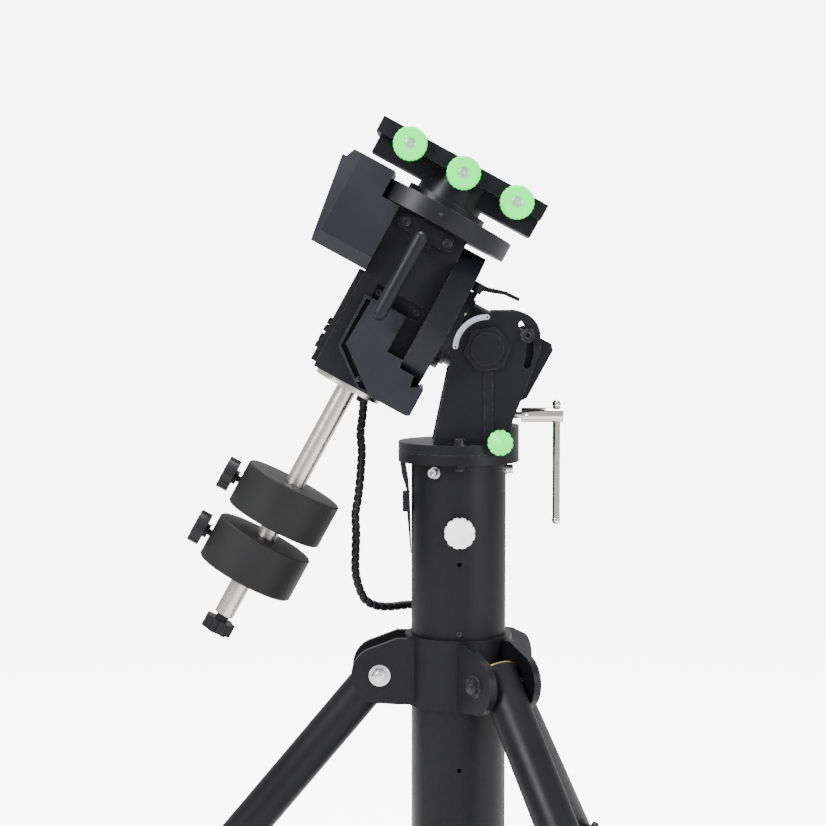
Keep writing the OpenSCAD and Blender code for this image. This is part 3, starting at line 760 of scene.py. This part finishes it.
@dataclass
class Cable:
    """The spiral-wrapped cable from the head, down behind the pier to its junction box."""

    diameter: float = 0.014
    around: int = 20
    per_span: int = 18
    pitch: float = 0.0122
    route: np.ndarray = field(default_factory=lambda: MM * np.array([
        [-141.3, 54, 940.3], [-146, 54, 926], [-149, 54, 897], [-152, 53, 871], [-150, 52, 846],
        [-151, 51, 822], [-153, 50, 796], [-156, 49, 770], [-160, 48, 745], [-159, 47, 716],
        [-160, 46, 681], [-160, 46, 655], [-155, 46, 632], [-146, 48, 612], [-130, 52, 601],
        [-108, 62, 597], [-84, 77, 597], [-62, 88, 597], [-42, 92, 597],
    ], float))

    def line(self, first: int, last: int) -> np.ndarray:
        """Follow the route with a Catmull-Rom spline, the same as the CAD's.

        Args:
            first: Number of the route point where the span starts.
            last: Number of the route point where it ends.

        Returns:
            Points along the middle of the cable.
        """
        steps = (last - first) * self.per_span + 1
        s = np.linspace(first, last, steps)
        i = np.minimum(s.astype(int), last - 1)
        t = (s - i)[:, None]
        top = len(self.route) - 1
        a, b, c, d = (self.route[np.clip(i + k, 0, top)] for k in (-1, 0, 1, 2))
        square = (2 * a - 5 * b + 4 * c - d) * t**2
        cube = (3 * b - a - 3 * c + d) * t**3
        return 0.5 * (2 * b + (c - a) * t + square + cube)

    def span(self, name: str, first: int, last: int) -> tuple[bpy.types.Object, np.ndarray, float]:
        """Make one span: a round tube whose radius swells and dips along a helix.

        The radius is full on the wrap's band and a quarter less in the gap between turns.

        Args:
            name: The piece's name.
            first: Number of the route point where the span starts.
            last: Number of the route point where it ends.

        Returns:
            The piece, its middle line and its length in metres.
        """
        line = self.line(first, last)
        ahead = np.gradient(line, axis=0)
        ahead /= np.linalg.norm(ahead, axis=1)[:, None]
        side = np.cross(ahead, np.array([0.3, -1.0, 0.1]))
        side /= np.linalg.norm(side, axis=1)[:, None]
        other = np.cross(ahead, side)
        gone = np.concatenate([[0.0], np.cumsum(np.linalg.norm(np.diff(line, axis=0), axis=1))])
        angle = np.linspace(0.0, 2.0 * np.pi, self.around, endpoint=False)
        phase = np.mod(gone[:, None] / self.pitch - angle[None, :] / (2.0 * np.pi), 1.0)
        gap = np.exp(-(((phase - 0.5) / 0.11) ** 2))
        radius = self.diameter / 2.0 * (1.0 - 0.26 * gap)
        ring = np.cos(angle)[None, :, None] * side[:, None, :]
        ring = ring + np.sin(angle)[None, :, None] * other[:, None, :]
        points = line[:, None, :] + radius[:, :, None] * ring
        faces = grid_faces(len(line), self.around).tolist()
        last_row = (len(line) - 1) * self.around
        faces.append(list(range(self.around))[::-1])
        faces.append([last_row + j for j in range(self.around)])
        piece = make_piece(name, points, faces, 60.0)
        return piece, line, float(gone[-1])

    def build(self, paints: Paintbox) -> None:
        """Make the three spans in place of the CAD cable nodes, which it hides.

        Args:
            paints: The finishes.
        """
        spans = (
            ("cable_head", 0, 8, "head", "polar_housing"),
            ("cable_drop", 8, 13, "polar_housing", "yoke"),
            ("cable_foot", 13, 18, "yoke", "stand"),
        )
        for node, first, last, upper, lower in spans:
            piece, line, length = self.span(node + "_wrapped", first, last)
            paints.dress(piece, Finish.WRAP)
            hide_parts(node)
            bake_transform(piece)
            log.info("%s: %.3f m of wrapped cable", piece.name, length)

    def glands(self, paints: Paintbox) -> None:
        """Put a tapered sleeve where the cable leaves the head, and a nut at the box.

        Args:
            paints: The finishes.
        """
        sleeve = turned(
            "cable_sleeve",
            np.array([
                [3.0, -2.0], [11.5, -2.0], [12.0, -1.0], [12.0, 5.0], [11.0, 6.0],
                [10.4, 7.0], [8.6, 22.0], [8.0, 23.0], [3.0, 23.0],
            ]),
            at_head(-128.0, 54.0, -146.0), -UPPER, 48)
        nut = turned(
            "cable_gland_nut",
            np.array([
                [3.0, -1.0], [13.0, -1.0], [13.5, 0.0], [13.5, 7.0],
                [12.6, 8.0], [9.5, 9.5], [8.2, 13.0], [3.0, 13.0],
            ]),
            np.array([-0.029, 0.092, 0.597]), -RIGHT, 48, np.array([0, 6, 6, 6, 6, 0, 0, 0]))
        for piece, body in ((sleeve, "head"), (nut, "stand")):
            paints.dress(piece, Finish.BLACK)
            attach(piece, body)
            log.info("%s on %s", piece.name, body)


@dataclass
class Hardware:
    """Small screws, washers and pins that the eye expects at close range."""

    leg_angles: tuple[float, ...] = (180.0, -60.0, 60.0)
    knob_w: tuple[float, ...] = (-247.0, -157.0, -67.0)

    def socket_screw(
        self, name: str, radius: float, height: float, centre: np.ndarray, axis: np.ndarray
    ) -> bpy.types.Object:
        """Make a cap screw's head with rounded rims and a six-sided socket.

        Args:
            name: The piece's name.
            radius: Head radius in millimetres.
            height: Head height in millimetres.
            centre: The middle of its seat.
            axis: The direction that it faces.

        Returns:
            The piece.
        """
        r, h = radius, height
        profile = np.array([
            [0.3 * r, -0.6], [r - 0.3, -0.6], [r, 0.0], [r, 0.72 * h],
            [0.97 * r, 0.86 * h], [0.88 * r, 0.96 * h],
            [0.78 * r, h], [0.58 * r, h], [0.53 * r, 0.94 * h], [0.52 * r, 0.45 * h], [0.1 * r, 0.35 * h],
        ])
        sides = np.array([0, 0, 0, 0, 0, 0, 0, 6, 6, 6, 0])
        return turned(name, profile, centre, axis, 48, sides)

    def leg_nut(self, name: str, centre: np.ndarray, axis: np.ndarray) -> bpy.types.Object:
        """Make a flange nut with the rounded end of its bolt standing out of it.

        Args:
            name: The piece's name.
            centre: The middle of its seat on the ear.
            axis: The direction that it faces.

        Returns:
            The piece.
        """
        profile = np.array([
            [2.0, -0.5], [16.2, -0.5], [16.8, 0.2], [16.4, 1.8], [12.9, 2.2], [12.6, 8.6], [11.6, 9.8],
            [8.8, 10.2], [8.2, 9.7], [8.0, 10.8], [7.6, 12.2], [6.6, 12.9], [2.0, 13.1],
        ])
        sides = np.array([0, 0, 0, 0, 6, 6, 6, 0, 0, 0, 0, 0, 0])
        return turned(name, profile, centre, axis, 60, sides)

    def build(self, paints: Paintbox) -> None:
        """Make every small piece and let it ride on its body.

        Args:
            paints: The finishes.
        """
        made: list[tuple[bpy.types.Object, str, Finish, str]] = []
        for number, w in enumerate(self.knob_w, 1):
            place = at_head(w, -89.4, 212.0)
            screw = self.socket_screw(f"saddle_knob_{number}_screw", 8.2, 4.4, place, FRONT)
            made.append((screw, f"saddle_knob_{number}", Finish.STEEL, "steel"))
            rim = washer(f"saddle_knob_{number}_rim", 20.4, 22.2, -0.6, 0.5, at_head(w, -94.5, 212.0), FRONT)
            made.append((rim, f"saddle_knob_{number}", Finish.GREEN, "green_plastic"))
        for number, angle in enumerate(self.leg_angles, 1):
            turn = math.radians(angle)
            centre = np.array([0.121 * math.cos(turn), 0.121 * math.sin(turn), 0.509])
            side = np.array([-math.sin(turn), math.cos(turn), 0.0])
            slope = math.radians(50.0)
            out = np.array([math.cos(turn), math.sin(turn), 0.0])
            down = math.cos(slope) * out - math.sin(slope) * UP
            ring = washer(f"leg_{number}_end_ring", 27.0, 31.2, 19.0, 20.8, centre, -down)
            made.append((ring, f"leg_{number}", Finish.BRONZE, "brass"))
            bright = number == 1
            for label, sign in (("left", -1.0), ("right", 1.0)):
                nut = self.leg_nut(f"leg_{number}_nut_{label}", centre + 45.0 * MM * sign * side, side * sign)
                finish, slot = (Finish.STEEL, "steel") if bright else (Finish.SCREW, "screw_black")
                made.append((nut, "stand", finish, slot))
        pin = self.socket_screw("collar_set_screw", 4.2, 3.0, np.array([0.0, -0.0725, 0.5775]), FRONT)
        made.append((pin, "stand", Finish.SCREW, "screw_black"))
        stop = self.socket_screw("dec_disc_set_screw", 2.6, 1.2, at_head(-157.0, -116.0, 141.0), FRONT)
        made.append((stop, "head", Finish.SCREW, "screw_black"))
        mark = turned(
            "polar_index_pin",
            np.array([[1.0, -1.0], [2.2, -1.0], [2.6, -0.4], [2.6, 2.0], [2.1, 2.7], [1.0, 3.0]]),
            at_head(-55.0, -57.0, 30.0), POLAR, 32)
        made.append((mark, "polar_housing", Finish.STEEL, "steel"))
        for piece, body, finish, slot in made:
            paints.dress(piece, finish)
            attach(piece, body)
            log.info("%s on %s", piece.name, body)


NODE_FINISH = {
    Finish.PIER: (
        "pier_tube", "pier_flange", "leg_collar", "brace_hub",
        "leg_1", "leg_2", "leg_3", "brace_1", "brace_2", "brace_3",
    ),
    Finish.HEAD: (
        "altaz_yoke", "hex_covers", "ra_housing", "ra_disc", "dec_housing", "dec_disc", "dec_shaft",
        "saddle_base", "saddle_jaw", "carry_handle",
    ),
    Finish.COVER: ("ra_drive_cover", "dec_drive_cover"),
    Finish.WEIGHT: ("weight_upper", "weight_lower"),
    Finish.GREEN: (
        "azimuth_knob_front", "azimuth_knob_back", "saddle_knob_1", "saddle_knob_2", "saddle_knob_3",
    ),
    Finish.WHITE: ("pier_knob",),
    Finish.BLACK: (
        "cable_junction", "cable_strap", "connector_panel", "ra_clutch_lever", "weight_knob_upper",
        "weight_knob_lower", "shaft_end_knob", "drive_motors",
    ),
    Finish.SHAFT: ("weight_shaft", "shaft_disc", "ra_shaft"),
    Finish.STEEL: ("pier_side_screws", "leg_bolts", "ra_bearings", "dec_bearings", "worm_shafts"),
    Finish.CHROME: ("altitude_crank", "tommy_bar"),
    Finish.SCREW: ("yoke_bolts", "altitude_pins", "head_screws"),
    Finish.SCALE: ("latitude_scale",),
    Finish.BRASS: ("ra_worm_wheel", "dec_worm_wheel"),
    Finish.RUBBER: ("foot_1", "foot_2", "foot_3"),
    Finish.WRAP: ("cable_head", "cable_drop", "cable_foot"),
}


def dress_nodes(paints: Paintbox) -> None:
    """Give every CAD node its finish.

    Args:
        paints: The finishes.
    """
    for finish, nodes in NODE_FINISH.items():
        for node in nodes:
            paints.dress(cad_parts[node], finish)
            log.info("%s: %s", node, finish.value)


def main() -> None:
    """Build the studio, the cable, the finishes and the hardware, in that order."""
    logging.basicConfig(level=logging.INFO, format="%(name)s: %(message)s")
    Studio().build()
    paints = Paintbox()
    cable = Cable()
    cable.build(paints)
    cable.glands(paints)
    dress_nodes(paints)
    Hardware().build(paints)


if __name__ == "__main__":
    main()
